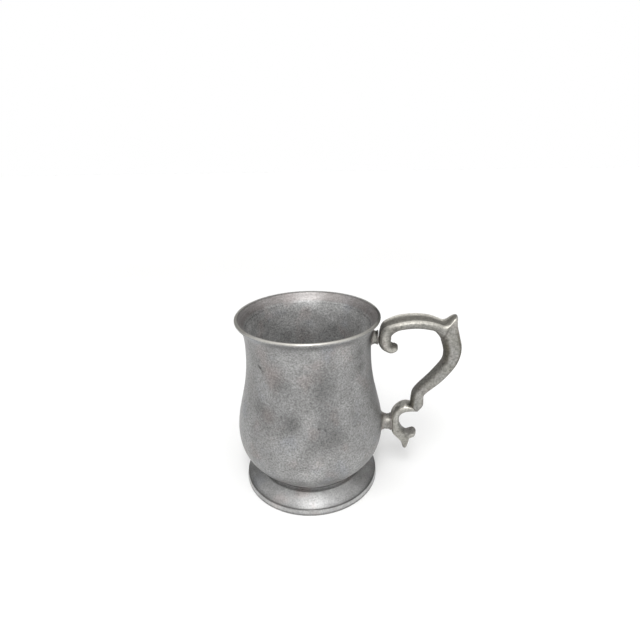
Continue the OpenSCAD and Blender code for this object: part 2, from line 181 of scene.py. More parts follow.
def bezier_way(points, t):
    """Directions of a cubic curve at the places t."""
    a, b, c, d = np.asarray(points)
    t = np.asarray(t, float)[..., None]
    return (1 - t) ** 2 * (b - a) + 2 * (1 - t) * t * (c - b) + t**2 * (d - c)


def spline(a, b, c, d, t):
    """A value between b and c on the smooth curve through four values."""
    return b + 0.5 * t * (c - a + t * (2 * a - 5 * b + 4 * c - d + t * (3 * (b - c) + d - a)))


def eased(low, high, value):
    """0 below low, 1 above high and a smooth rise between."""
    t = np.clip((value - low) / (high - low), 0, 1)
    return t * t * (3 - 2 * t)


class BodyCurve:
    """The body's outer outline, as [radius, height], in stretches to the belly, the neck and the rim"""

    # How far each end of a stretch pulls, as a share of its height, and the slope at the base
    BASE_PULL = 0.33
    BASE_SLOPE = 1.05
    BELLY_UNDER_PULL = 0.49
    BELLY_OVER_PULL = 0.29
    NECK_UNDER_PULL = 0.5
    NECK_OVER_PULL = 0.87
    FLARE_PULL = 0.2

    def __init__(self, sizes):
        self.wall = sizes.wall
        self.lip_way = np.array([math.sin(sizes.flare), math.cos(sizes.flare)])
        self.lip_out = np.array([self.lip_way[1], -self.lip_way[0]])
        self.lip_centre = np.array([(sizes.rim_d - sizes.wall) / 2, sizes.body_h - sizes.wall / 2])
        base = np.array([sizes.bowl_base_d / 2, sizes.bowl_z])
        belly = np.array([sizes.belly_d / 2, sizes.belly_z])
        neck = np.array([sizes.neck_d / 2, sizes.body_h - sizes.neck_drop])
        rim = self.lip_centre + self.lip_out * sizes.wall / 2
        up = np.array([0, 1])
        bowl_span = belly[1] - base[1]
        waist_span = neck[1] - belly[1]
        flare_span = rim[1] - neck[1]
        self.stretches = [
            [base, base + bowl_span * self.BASE_PULL * np.array([self.BASE_SLOPE, 1]),
             belly - bowl_span * self.BELLY_UNDER_PULL * up, belly],
            [belly, belly + waist_span * self.BELLY_OVER_PULL * up,
             neck - waist_span * self.NECK_UNDER_PULL * up, neck],
            [neck, neck + flare_span * self.NECK_OVER_PULL * up,
             rim - flare_span * self.FLARE_PULL * self.lip_way, rim],
        ]
        self.end = len(self.stretches)
        self.places = np.linspace(0, self.end, self.end * STRETCH_STEPS * 2 + 1)

    def points(self, places, depth):
        """Points at places along the outline, at a depth below the outer face."""
        found = []
        for u in np.atleast_1d(places):
            k = min(int(u), self.end - 1)
            way = bezier_way(self.stretches[k], u - k)
            inward = np.array([-way[1], way[0]]) / np.linalg.norm(way)
            found.append(bezier(self.stretches[k], u - k) + depth * inward)
        return np.array(found)

    def run(self, start, end, depth):
        """Evenly placed points from one place to another, at a depth below the outer face."""
        steps = max(2, math.ceil(abs(end - start) * STRETCH_STEPS))
        return self.points(np.linspace(start, end, steps + 1), depth)

    def place_at(self, height, depth=0.0):
        """The place where the face at a depth has a height."""
        return float(np.interp(height, self.points(self.places, depth)[:, 1], self.places))

    def radius_at(self, height):
        """The outer radius at a height, or at an array of heights."""
        outline = self.points(self.places, 0)
        return np.interp(height, outline[:, 1], outline[:, 0])

    def lip(self):
        """The rounded top of the lip, from its outer to its inner face, without its ends."""
        turn = np.linspace(0, math.pi, LIP_STEPS + 1)[1:-1, None]
        return self.lip_centre + self.wall / 2 * (np.cos(turn) * self.lip_out + np.sin(turn) * self.lip_way)


# Meshes

def drift(points, amount):
    """Moves points a little, by one smooth field for all pieces that is still at the table."""
    broad, fine, fine_share, calm_z, seed = 38.0, 150.0, 0.35, 3 * MM, 7
    noise.seed_set(seed)
    moved = np.array(points, float)
    for i, p in enumerate(moved):
        v = Vector(p)
        push = noise.noise_vector(v * broad) + noise.noise_vector(v * fine) * fine_share
        moved[i] += np.array(push) * amount * eased(0, calm_z, p[2])
    return moved


def turned(outline):
    """Rings of points: an outline [radius, height] turned once about Z."""
    outline = np.asarray(outline)
    turn = np.linspace(0, 2 * math.pi, AROUND, endpoint=False)
    x = np.outer(np.cos(turn), outline[:, 0])
    y = np.outer(np.sin(turn), outline[:, 0])
    z = np.tile(outline[:, 1], (AROUND, 1))
    return np.stack([x, y, z], axis=-1)


def ring_faces(rings, points, loop):
    """Four-sided faces over a row of closed rings, which may close on itself in a loop."""
    faces = []
    for k in range(rings if loop else rings - 1):
        here, there = k * points, (k + 1) % rings * points
        for i in range(points):
            j = (i + 1) % points
            faces.append((here + i, here + j, there + j, there + i))
    return faces


def make_piece(name, shells, finishes, inside=None, marks=None):
    """Builds a piece, gives it its finishes and sets it on the frame in place of its node.

    Each shell is a row of closed rings, and a word on whether these close on each other in a loop.
    A row that doesn't gets a cap at both ends.
    """
    corners, faces, chosen = [], [], []
    for grid, loop in shells:
        rings, points = grid.shape[:2]
        start, last = len(corners), (rings - 1) * points
        found = ring_faces(rings, points, loop)
        across = [0] * points if inside is None else list(inside)
        chosen += across * (len(found) // points)
        if not loop:
            found += [range(points), range(last, last + points)]
            chosen += [0, 0]
        faces += [[start + i for i in face] for face in found]
        corners += grid.reshape(-1, 3).tolist()
    mesh = bpy.data.meshes.new(name)
    mesh.from_pydata(corners, [], faces)
    mesh.polygons.foreach_set("material_index", chosen)
    for label, values in (marks or {}).items():
        layer = mesh.attributes.new(label, "FLOAT", "POINT")
        layer.data.foreach_set("value", np.asarray(values, np.float32).ravel())
    clean = bmesh.new()
    clean.from_mesh(mesh)
    bmesh.ops.remove_doubles(clean, verts=clean.verts, dist=MERGE)
    bmesh.ops.recalc_face_normals(clean, faces=clean.faces)
    clean.to_mesh(mesh)
    clean.free()
    mesh.shade_smooth()
    mesh.set_sharp_from_angle(angle=SHARP_ANGLE)
    for finish in finishes:
        mesh.materials.append(finish)
    piece = bpy.data.objects.new(name + "_look", mesh)
    bpy.context.scene.collection.objects.link(piece)
    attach(piece, BODY)
    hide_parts(name)
    return piece


def uneven(grid, sizes):
    """Rings of points with the castings' unevenness."""
    return drift(grid.reshape(-1, 3), sizes.cast_drift).reshape(grid.shape)


def turn_piece(name, outline, finishes, sizes, inner=()):
    """A piece turned from a closed outline, with its inner stretch, if any, in the second finish."""
    points = np.concatenate([outline, inner]) if len(inner) else np.asarray(outline)
    inside = [0] * len(outline) + [1] * len(inner)
    make_piece(name, [(uneven(turned(points), sizes), True)], finishes, inside)


def rounded(points, radius):
    """A closed outline with each corner rounded, by a radius for all or one for each."""
    points = np.asarray(points, float)
    radii = np.broadcast_to(radius, len(points))
    found = []
    for k, corner in enumerate(points):
        before, after = points[k - 1] - corner, points[(k + 1) % len(points)] - corner
        back, ahead = np.linalg.norm(before), np.linalg.norm(after)
        reach = min(radii[k], back * CORNER_SHARE, ahead * CORNER_SHARE)
        start = corner + before / back * reach
        end = corner + after / ahead * reach
        for t in np.linspace(0, 1, CORNER_STEPS):
            found.append((1 - t) ** 2 * start + 2 * t * (1 - t) * corner + t**2 * end)
    return np.array(found)


# Finishes

class Wire:
    """One output in a finish's node tree; sums and products of wires add their Math nodes"""

    def __init__(self, tree, socket):
        self.tree = tree
        self.socket = socket

    def node(self, kind, settings=None, sockets=None, out=0):
        """Adds a node with its settings, then the values and links of its sockets, and gives one output."""
        made = self.tree.nodes.new(kind)
        for key, value in (settings or {}).items():
            setattr(made, key, value)
        for key, value in (sockets or {}).items():
            feed(self.tree, made.inputs[key], value)
        return Wire(self.tree, made.outputs[out])

    def maths(self, operation, *values):
        """A Math node on values and wires."""
        return self.node("ShaderNodeMath", {"operation": operation}, dict(enumerate(values)))

    def __add__(self, other):
        return self.maths("ADD", self, other)

    def __radd__(self, other):
        return self.maths("ADD", other, self)

    def __sub__(self, other):
        return self.maths("SUBTRACT", self, other)

    def __rsub__(self, other):
        return self.maths("SUBTRACT", other, self)

    def __mul__(self, other):
        return self.maths("MULTIPLY", self, other)

    def __rmul__(self, other):
        return self.maths("MULTIPLY", other, self)

    def __pow__(self, other):
        return self.maths("POWER", self, other)

    def __abs__(self):
        return self.maths("ABSOLUTE", self)


def feed(tree, socket, value):
    """Links a wire to a socket, or sets the socket to a plain value."""
    if isinstance(value, Wire):
        tree.links.new(value.socket, socket)
    else:
        socket.default_value = value


def rise(value, low, high):
    """0 below low, 1 above high and a soft rise between."""
    sockets = {"Value": value, "From Min": low, "From Max": high}
    return value.node("ShaderNodeMapRange", {"interpolation_type": "SMOOTHSTEP"}, sockets)


def blend(share, first, second):
    """The first colour or the second, by a share."""
    sockets = {0: share, 6: opaque(first), 7: opaque(second)}
    return share.node("ShaderNodeMix", {"data_type": "RGBA"}, sockets, 2)


def opaque(tone):
    """A colour with its alpha, for a colour socket."""
    return tone if isinstance(tone, Wire) else (*tone, 1)


def shaded(tone, factor):
    """A colour made lighter or darker by a factor."""
    return factor.node("ShaderNodeVectorMath", {"operation": "SCALE"}, {0: tone, "Scale": factor})


def mottle(place, scale, seed, detail=2.0):
    """Soft patches between 0 and 1, so many to the metre."""
    sockets = {"Vector": place, "W": seed, "Scale": scale, "Detail": detail}
    return place.node("ShaderNodeTexNoise", {"noise_dimensions": "4D"}, sockets)


def near(place, point, reach):
    """1 at a point of the object, fading to 0 at a reach from it."""
    sockets = {0: place, 1: point}
    away = place.node("ShaderNodeVectorMath", {"operation": "DISTANCE"}, sockets, "Value")
    return 1 - rise(away, 0, reach)


def bumps(place, height, distance, strength):
    """A normal that follows a height of so many metres at 1."""
    return place.node("ShaderNodeBump", {}, {"Height": height, "Distance": distance, "Strength": strength})


class Finish:
    """A metal finish under way: its material, its place on the object and the parts of that place"""

    def __init__(self, name):
        self.material = bpy.data.materials.new(name)
        self.material.use_nodes = True
        self.tree = self.material.node_tree
        self.shader = self.tree.nodes["Principled BSDF"]
        coordinates = self.tree.nodes.new("ShaderNodeTexCoord")
        self.place = Wire(self.tree, coordinates.outputs["Object"])
        split = self.tree.nodes.new("ShaderNodeSeparateXYZ")
        self.tree.links.new(self.place.socket, split.inputs[0])
        self.x, self.y, self.z = (Wire(self.tree, socket) for socket in split.outputs)

    def radius(self):
        """The distance from the cup's axis."""
        return (self.x * self.x + self.y * self.y) ** 0.5

    def turned_place(self):
        """The place with little of its turn about Z, so that a pattern on it runs round like tool marks."""
        kept, radius = 0.5, self.radius()
        return radius.node("ShaderNodeCombineXYZ", {}, {0: radius, 1: self.x * kept, 2: self.z})

    def mark(self, label):
        """A value that the mesh carries at each point."""
        return self.place.node("ShaderNodeAttribute", {"attribute_name": label}, {}, "Fac")

    def dress(self, **sockets):
        """Feeds the shader's sockets, named as they are but in small letters and with underscores."""
        for label, value in sockets.items():
            feed(self.tree, self.shader.inputs[label.replace("_", " ").title()], value)
        return self.material


def spots(place, marks):
    """Soft spots in a sum, each given by its point and its reach, in millimetres, and its strength."""
    total = 0.0
    for point, reach, strength in marks:
        total = near(place, [MM * v for v in point], MM * reach) * strength + total
    return total


def near_height(height, middle, reach):
    """1 at one height, fading to 0 at a reach above and below it."""
    return 1 - rise(abs(height - middle), 0, reach)


# Patterns of the castings: waves to the metre, and the values between which a pattern comes up
PATCH_WAVES, PATCH_LIMITS = 60, (0.36, 0.64)
WARM_WAVES, WARM_LIMITS = 70, (0.52, 0.68)
COOL_WAVES, COOL_LIMITS = 58, (0.54, 0.7)
FLECK_WAVES, FLECK_LIMITS = 420, (0.64, 0.74)
GRAIN_WAVES = 1000
# Shares of the two tints and of the dark flecks, how far flecks change the tone, and a pattern's middle value
TINT_SHARE, FLECK_SHARE, FLECK_TONE = 0.45, 0.5, 0.3
MEAN = 0.5
# Roughness of the body before its patterns, and the height of its grain
SATIN = 0.38
RELIEF = 0.2 * MM


def cast_metal(finish, colours, speckle):
    """Tone, grain, flecks and patches of the satin castings."""
    place = finish.place
    patches = mottle(place, PATCH_WAVES, seed=1.0, detail=4)
    grain = mottle(place, GRAIN_WAVES, seed=2.0, detail=1)
    flecks = mottle(place, FLECK_WAVES, seed=3.0, detail=3)
    warm = mottle(place, WARM_WAVES, seed=4.0, detail=3)
    cool = mottle(place, COOL_WAVES, seed=5.0, detail=3)
    tone = blend(rise(patches, *PATCH_LIMITS), colours.body_dark, colours.body_light)
    tone = blend(rise(warm, *WARM_LIMITS) * TINT_SHARE, tone, colours.body_warm)
    tone = blend(rise(cool, *COOL_LIMITS) * TINT_SHARE, tone, colours.body_cool)
    tone = blend(rise(flecks, *FLECK_LIMITS) * FLECK_SHARE, tone, colours.pit)
    tone = shaded(tone, 1 + (grain - MEAN) * speckle + (flecks - MEAN) * FLECK_TONE)
    return tone, grain, flecks, patches


# Marks on the body: point, reach and strength. Smudges of a strength below 0 are light: painted highlights on
# the inside's back wall
DINGS = (
    ((-25, -30.5, 95.5), 1.9, 0.95), ((-26, -29.5, 96.5), 1.6, 0.7), ((-23.5, -31.5, 94), 1.6, 0.6),
    ((9.3, -43, 63.2), 1.6, 0.6), ((12.3, -42.2, 62.4), 1.5, 0.5), ((-1.9, -47.9, 39.1), 0.9, 0.6),
    ((1.2, -47.9, 39.3), 0.9, 0.6),
)
DARK_PATCHES = (
    ((13, -37.5, 90), 14, 0.36), ((-26, -33, 70.5), 10, 0.2), ((-7, -42.5, 65), 11, 0.42),
    ((11, -45, 54.5), 12, 0.22), ((20, -41.5, 55.5), 10, 0.18), ((-14, -36, 90), 9, 0.15),
    ((3, -46, 50), 15, 0.1), ((13, -38.5, 80), 13, 0.24), ((13.5, -41, 66), 14, 0.32),
    ((-9, -38.5, 87.5), 11, 0.24), ((-15, -38.5, 75.5), 13, 0.2), ((-20, -39, 64), 12, 0.22),
    ((33, -22, 93), 8, 0.3), ((33, -22.5, 102), 7, 0.2), ((-7.5, -43, 114.5), 11, 0.22),
    ((-18, -39.5, 113.5), 9, 0.16),
)
LIGHT_PATCHES = (
    ((4, -42.5, 68.5), 9, 0.2), ((-21, -41, 54.5), 15, 0.1), ((1.5, -48, 37), 22, 0.15),
    ((-5, -39.5, 102), 12, 0.12), ((28, -34, 24), 16, 0.3), ((12, -46, 44), 15, 0.16),
    ((25, -41, 41), 14, 0.2), ((25, -31.5, 108), 10, 0.24), ((8, -39.5, 107), 10, 0.14),
)
PINK_PATCHES = (((-17.3, -35.5, 93.7), 11, 0.8), ((-21.4, -37.3, 67.7), 8, 0.7))
SMUDGES_AND_HIGHLIGHTS = (
    ((-3.5, 37.5, 105.5), 5, 0.6), ((14.5, 34.5, 94.5), 6, 0.3), ((-32, 19.5, 103), 9, 0.2),
    ((-36, 12, 104), 11, 0.3), ((30, 29, 114), 9, 0.35), ((34, 16.5, 105), 8, 0.2),
    ((0.5, 37.5, 92.5), 10, -0.6), ((-2, 39, 111), 18, -0.3), ((-27, 27.5, 110), 9, -0.25),
)


def body_finish(colours, sizes):
    """Outside of the body: satin and finely speckled, dinged here and there, with a polished lip whose
    painted highlight fades towards the back, painted light low on the bowl and painted shade beside the
    handle.
    """
    speckle, pink_least, pink_grain = 1.5, 0.3, 1.2
    lip_low, lip_high, lip_polish_and_highlight, lip_gloss = sizes.body_h - 1.4 * MM, sizes.body_h - 0.5 * MM, 0.6, 0.16
    lip_back, lip_highlight_back_fade = 30 * MM, 0.7
    bowl_top, bowl_light_gain = sizes.bowl_z + 11 * MM, 1.1
    shade_x, shade_y, shade_z = (30 * MM, 36 * MM), (6 * MM, 20 * MM), (50 * MM, 80 * MM)
    shade_least, shade_growth = 0.25, 0.5
    finish = Finish("body_outside")
    place = finish.place
    tone, grain, flecks, patches = cast_metal(finish, colours, speckle)
    pink = shaded(colours.body_warm, pink_least + grain * pink_grain)
    tone = blend(spots(place, PINK_PATCHES), tone, pink)
    tone = shaded(tone, 1 - spots(place, DARK_PATCHES) + spots(place, LIGHT_PATCHES))
    dings = spots(place, DINGS)
    tone = blend(dings, tone, colours.pit)
    # The lip: polished, with a painted highlight that is strongest at the front and fades towards the back
    lip = rise(finish.z, lip_low, lip_high) * (1 - rise(finish.y, 0, lip_back) * lip_highlight_back_fade)
    tone = blend(lip * lip_polish_and_highlight, tone, colours.handle_rubbed_and_highlight)
    # Painted light low on the bowl, and painted shade on the body beside the handle
    bowl_painted_light = 1 - rise(finish.z, sizes.bowl_z, bowl_top)
    shade = rise(finish.x, *shade_x) * (1 - rise(abs(finish.y), *shade_y))
    shade = shade * (shade_least + rise(finish.z, *shade_z) * shade_growth)
    tone = shaded(tone, 1 + bowl_painted_light * bowl_light_gain - shade)
    rough = SATIN + patches * 0.14 + grain * 0.08 - lip * lip_gloss
    normal = bumps(place, grain * 0.6 + flecks * 0.7 - dings, RELIEF, strength=0.6)
    return finish.dress(base_color=tone, metallic=0.9, roughness=rough, normal=normal)


def inside_finish(colours, sizes):
    """Inside of the cup: turned, stained and specked, smoother at the lip, with a painted lit band below the
    lip and painted highlights on the back wall.
    """
    speckle, ring_waves, ring_tone = 1.7, 900, 0.9
    top, line_z, line_w, line_dark = sizes.body_h, sizes.body_h - sizes.lip_depth, 0.5 * MM, 0.35
    light, upper_light_gain = 1.3, 0.6
    flare_warmth, warm_least, warm_rings = 0.6, 0.5, 0.8
    finish = Finish("body_inside")
    tone, grain, flecks, patches = cast_metal(finish, colours, speckle)
    rings = mottle(finish.turned_place(), ring_waves, seed=6.0, detail=3)
    deep = 1 - rise(finish.z, top - 30 * MM, top - 6 * MM)
    line = near_height(finish.z, line_z, line_w)
    # A painted lit band on the wall some way below the lip
    upper_painted_light = rise(finish.z, top - 28 * MM, top - 16 * MM) * (1 - rise(finish.z, top - 12 * MM, top - 5 * MM))
    flare = rise(finish.z, line_z + line_w, line_z + 5 * line_w)
    factor = light + upper_painted_light * upper_light_gain - line * line_dark + (rings - MEAN) * ring_tone
    tone = shaded(tone, factor - spots(finish.place, SMUDGES_AND_HIGHLIGHTS))
    tone = blend(flare * flare_warmth, tone, shaded(colours.body_warm, warm_least + rings * warm_rings))
    rough = SATIN + patches * 0.12 + rings * 0.08 + deep * 0.08
    normal = bumps(finish.place, rings * 0.8 + flecks * 0.5 + grain * 0.3, RELIEF, strength=0.5)
    return finish.dress(base_color=tone, metallic=0.85 - deep * 0.4, roughness=rough, normal=normal)


def foot_finish(colours, sizes):
    """Foot: turned and mottled, with painted light on its slope and band, a painted shadow at the band's
    lower edge and painted shade in the cove under the bowl, and dark in its groove.
    """
    speckle, ring_waves, least_rough = 0.8, 700, 0.26
    light, ring_light, slope_light_gain, band_light_gain, cove_shade_depth = 0.68, 0.3, 0.36, 0.75, 0.35
    groove_w, groove_dark = 0.9 * MM, 0.85
    band_low, band_full, band_end, slope_full = 0.6 * MM, 1.8 * MM, 0.5 * MM, 2.5 * MM
    cove_end, cove_full = 0.1 * MM, 0.6 * MM
    finish = Finish("foot_turned")
    tone, grain, flecks, patches = cast_metal(finish, colours, speckle)
    rings = mottle(finish.turned_place(), ring_waves, seed=7.0)
    band_top = sizes.band_h + sizes.line_w / 2
    crease = sizes.bowl_base_d / 2 + sizes.seat_ledge + sizes.cove_w
    # Painted light on the slope and the band, left off at the band's lower edge as a painted shadow, and
    # painted shade in the cove under the bowl
    slope = rise(finish.z, band_top, band_top + slope_full)
    band = rise(finish.z, band_low, band_full) * (1 - rise(finish.z, band_top, band_top + band_end))
    cove = 1 - rise(finish.radius(), crease - cove_full, crease - cove_end)
    tone = shaded(tone, light + rings * ring_light + slope * slope_light_gain + band * band_light_gain)
    tone = shaded(tone, 1 - cove * cove_shade_depth)
    tone = blend(near_height(finish.z, band_top, groove_w) * groove_dark, tone, colours.pit)
    rough = least_rough + patches * 0.16 + rings * 0.08
    normal = bumps(finish.place, rings * 0.5 + flecks * 0.6 + grain * 0.3, RELIEF, strength=0.45)
    return finish.dress(base_color=tone, metallic=0.8, roughness=rough, normal=normal)


def handle_finish(colours, sizes):
    """Handle: smoother and warmer, with tarnish and painted shade on the faces that the marks name, and wear
    and painted highlights along its edges.
    """
    patch_waves, patch_limits, patch_share = 130, (0.35, 0.65), 0.5
    warm_waves, warm_limits, warm_share = 110, (0.5, 0.66), 0.5
    fleck_waves, fleck_limits, grain_waves = 480, (0.62, 0.72), 900
    gloss, least_rough, dull_loss, relief = 0.2, 0.34, 0.75, 0.18 * MM
    finish = Finish("handle_worn")
    place = finish.place
    patches = mottle(place, patch_waves, seed=11.0, detail=4)
    grain = mottle(place, grain_waves, seed=12.0, detail=1)
    flecks = mottle(place, fleck_waves, seed=13.0, detail=3)
    warm = mottle(place, warm_waves, seed=14.0, detail=3)
    tone = blend(rise(patches, *patch_limits) * patch_share, colours.handle_metal, colours.body_light)
    tone = blend(rise(warm, *warm_limits) * warm_share, tone, colours.body_warm)
    # Tarnish in the hollows, and painted shade on the sides, inner faces and volute, where the marks put them
    dull = finish.mark("tarnish_and_shade") * (0.6 + patches * 0.6)
    tone = blend(dull, tone, colours.handle_tarnish_and_shade)
    # Wear along the edges, and painted highlights on the edges and ridges that face the light
    rubbed_and_highlit = finish.mark("rubbed_and_highlit")
    tone = blend(rubbed_and_highlit * (0.5 + grain * 0.6), tone, colours.handle_rubbed_and_highlight)
    tone = blend(rise(flecks, *fleck_limits) * FLECK_SHARE, tone, colours.pit)
    mottling = (grain - MEAN) * 1.1 + (flecks - MEAN) * 1.3 + (patches - MEAN) * 0.5
    tone = shaded(tone, 1 + mottling * (1 - rubbed_and_highlit * 0.6))
    rough = least_rough + patches * 0.16 + dull * 0.3
    normal = bumps(place, grain * 0.4 + flecks * 0.6, relief, strength=0.5)
    finish.shader.inputs["Specular IOR Level"].default_value = gloss
    return finish.dress(base_color=tone, metallic=1 - dull * dull_loss, roughness=rough, normal=normal)


def solder_finish(colours, sizes):
    """Solder at the handle: a little lumpy, pale and specked."""
    lump_waves, lump_limits, grain_waves = 420, (0.35, 0.65), 1200
    crest_limits, crest_share, relief = (0.6, 0.7), 0.5, 0.4 * MM
    finish = Finish("soft_solder")
    place = finish.place
    lumps = mottle(place, lump_waves, seed=21.0, detail=3)
    grain = mottle(place, grain_waves, seed=22.0)
    tone = blend(rise(lumps, *lump_limits), colours.handle_metal, colours.body_warm)
    tone = blend(rise(lumps, *crest_limits) * crest_share, tone, colours.handle_rubbed_and_highlight)
    tone = shaded(tone, 0.7 + grain * 0.5)
    normal = bumps(place, lumps + grain * 0.2, relief, strength=0.6)
    return finish.dress(base_color=tone, metallic=1.0, roughness=0.42 + lumps * 0.2, normal=normal)


def floor_finish(colours, sizes):
    """Plain pale floor of the stage, hardly uneven, which glows faintly in the distance."""
    waves, far_from, far_full, far_glow = 3, 0.4, 1.2, 0.12
    finish = Finish("stage_floor")
    tone = shaded(colours.floor, 0.98 + mottle(finish.place, waves, seed=31.0) * 0.04)
    far = shaded(colours.floor, rise(finish.radius(), far_from, far_full) * far_glow)
    return finish.dress(base_color=tone, roughness=0.9, emission_color=far, emission_strength=1.0)


FINISHES = {
    "body_outside": body_finish,
    "body_inside": inside_finish,
    "foot_turned": foot_finish,
    "handle_worn": handle_finish,
    "soft_solder": solder_finish,
    "stage_floor": floor_finish,
}


def finish_named(name, settings):
    """A finish by its name, made when it is first asked for."""
    return bpy.data.materials.get(name) or FINISHES[name](settings.colours, settings.sizes)


# Handle

def station(anchor, outer, inner, widths, hollow=0.0, outer_anchor=None):
    """One station of a scroll: outer and inner point, widths there and hollow. Offsets are in millimetres."""
    tip = (anchor if outer_anchor is None else outer_anchor) + MM * np.array(outer)
    return np.array([*tip, *(anchor + MM * np.array(inner)), *widths, hollow])


class HandlePlan:
    """Anchors of the handle as [x, z], and the stations of its two scrolls"""

    ARCH_SHARES = np.array([1, 0.82])
    JOINT_SLANT = np.array([-0.6, -0.8])

    def __init__(self, sizes):
        self.volute = np.array([UPPER_LUG_HIGH.x + sizes.film, (UPPER_LUG_LOW.z + UPPER_LUG_HIGH.z) / 2])
        self.tail = np.array([LOWER_LUG_HIGH.x + sizes.film, (LOWER_LUG_LOW.z + LOWER_LUG_HIGH.z) / 2])
        self.bend = np.array([sizes.handle_reach, self.volute[1] - sizes.bend_drop])
        self.joint = self.tail + np.array([sizes.heel_out, sizes.heel_rise])
        self.tail_joint = self.joint + sizes.film * self.JOINT_SLANT

    def arch(self, sizes, share, drop, thick, lean):
        """A station of the arch at a share of its span, its outer face below the crown by a drop."""
        span = self.bend[0] - self.volute[0]
        crown = self.volute + np.array([span * share, sizes.arch_rise])
        lean = math.radians(lean)
        outer = np.array([0, -drop])
        inner = outer + thick * np.array([math.sin(lean), -math.cos(lean)])
        return station(crown, outer, inner, sizes.arch_w * self.ARCH_SHARES, sizes.arch_hollow)

    def scroll(self, sizes):
        """Stations of the large scroll: volute, arch, spur, bend and arm."""
        volute, bend, joint = self.volute, self.bend, self.joint
        spur = bend + np.array([0, sizes.spur_rise])
        middle = (bend + joint) / 2
        volute_w, arch_w, grip_w, arm_w = (np.array([w, w]) for w in (
            sizes.volute_w, sizes.arch_w, sizes.grip_w, sizes.arm_w))
        hollow = sizes.arch_hollow
        return np.array([
            station(volute, [13, -6], [11.8, -4.6], volute_w * [0.6, 0.56]),
            station(volute, [11.8, -8.4], [10.4, -4.6], volute_w * [0.75, 0.71]),
            station(volute, [8, -9.9], [8.8, -4], volute_w * [0.85, 0.81]),
            station(volute, [2.8, -7.4], [8, -2.4], volute_w * [0.93, 0.85]),
            station(volute, [0.35, -3.4], [8.2, -0.2], volute_w * [0.97, 0.89]),
            station(volute, [0, 0], [8.2, 1], volute_w * [1, 0.92], hollow / 2),
            station(volute, [0.35, 3.8], [8.6, 2.4], volute_w * [1.03, 0.95], hollow),
            station(volute, [2.6, 9], [9.8, 4], arch_w * [0.82, 0.74], hollow),
            self.arch(sizes, 0.19, 2.1, 6.8, 24),
            self.arch(sizes, 0.34, 0.4, 6.8, 9),
            self.arch(sizes, 0.48, 0, 6.8, 0),
            self.arch(sizes, 0.62, 0.9, 6.8, -10),
            station(bend, [-15, 17.7], [-17.6, 11.5], arch_w * [0.96, 0.79], hollow),
            station(bend, [-11.4, 16.5], [-15, 8.9], arch_w * [0.9, 0.76], hollow),
            station(bend, [-8.6, 17.5], [-13.7, 7.1], arch_w * [0.82, 0.75], hollow),
            station(bend, [-5.6, -0.4], [-12.8, 5.5], grip_w * [0.84, 0.93], hollow, spur),
            station(bend, [-4, -0.6], [-12.3, 4.4], grip_w * [0.76, 0.93], 0, spur),
            station(bend, [-3.6, 15], [-11.9, 3], grip_w * [0.9, 0.93]),
            station(bend, [-1.8, 8.3], [-11.4, 1.4], grip_w * [1, 0.91]),
            station(bend, [0, 0.7], [-10.5, -1.4], grip_w * [1, 0.88]),
            station(bend, [-0.7, -6.4], [-9.9, -5.3], grip_w * [1, 0.82]),
            station(bend, [-3.7, -13.9], [-11, -10.7], grip_w * [0.91, 0.74]),
            station(middle, [2.5, -1.6], [-4.5, 1.9], arm_w * [1.05, 0.85]),
            station(joint, [7.2, 12], [1, 14.8], arm_w * [1, 0.82]),
            station(joint, [5.4, 9.2], [-1.7, 10.4], arm_w * [0.98, 0.82]),
            station(joint, [5.5, 5.8], [-2.4, 6], arm_w * [0.98, 0.82]),
            station(joint, [5.3, 2], [-2.5, 3], arm_w * [0.98, 0.82]),
            station(joint, [2.6, -1.9], [-2.2, 1.7], arm_w * [0.96, 0.85]),
        ])

    def tail_scroll(self, sizes):
        """Stations of the tail: from the joint round the lug to the finial and the hook."""
        tail, joint = self.tail, self.tail_joint
        finial = tail - np.array([0, sizes.finial_drop])
        tail_w = np.array([sizes.tail_w, sizes.tail_w])
        return np.array([
            station(joint, [-2.2, 1.7], [2.6, -1.9], tail_w * [1, 1]),
            station(joint, [-5.4, 2.4], [-2, -2.3], tail_w * [1, 0.96]),
            station(tail, [5.8, 13.7], [9.1, 9.5], tail_w * [1, 0.96]),
            station(tail, [2.2, 10.5], [6.9, 8.3], tail_w * [1, 0.94]),
            station(tail, [0.2, 6.3], [5.5, 6.2], tail_w * [1, 0.94]),
            station(tail, [0, 1.6], [5.3, 3], tail_w * [1, 0.94]),
            station(tail, [0.2, -3], [5.7, -0.4], tail_w * [1, 0.94]),
            station(tail, [1.5, -7.8], [6.9, -3.4], tail_w * [0.94, 0.93]),
            station(tail, [5.2, -12.2], [8.3, -5.5], tail_w * [0.8, 0.91]),
            station(tail, [7.6, 4.8], [9.4, -6.3], tail_w * [0.52, 0.91], 0, finial),
            station(tail, [9.2, 0.2], [10, -6.6], tail_w * [0.33, 0.91], 0, finial),
            station(tail, [11.1, 0], [10.7, -6.8], tail_w * [0.31, 0.91], 0, finial),
            station(tail, [12.3, 4.6], [11.4, -6.9], tail_w * [0.5, 0.91], 0, finial),
            station(tail, [12.6, -12], [12.4, -6.9], tail_w * [0.74, 0.89]),
            station(tail, [15.5, -9.9], [14.2, -6.4], tail_w * [0.81, 0.87]),
            station(tail, [17.5, -7.2], [16.3, -5.6], tail_w * [0.69, 0.76]),
        ])


def smooth_rows(stations):
    """Stations with smooth steps between them, and the place of each in the row."""
    last = len(stations) - 1
    places = np.arange(last * SCROLL_STEPS + 1) / SCROLL_STEPS
    rows = []
    for place in places:
        k = min(int(place), last - 1)
        around = [stations[min(max(k + step, 0), last)] for step in (-1, 0, 1, 2)]
        rows.append(spline(*around, place - k))
    return np.array(rows), places


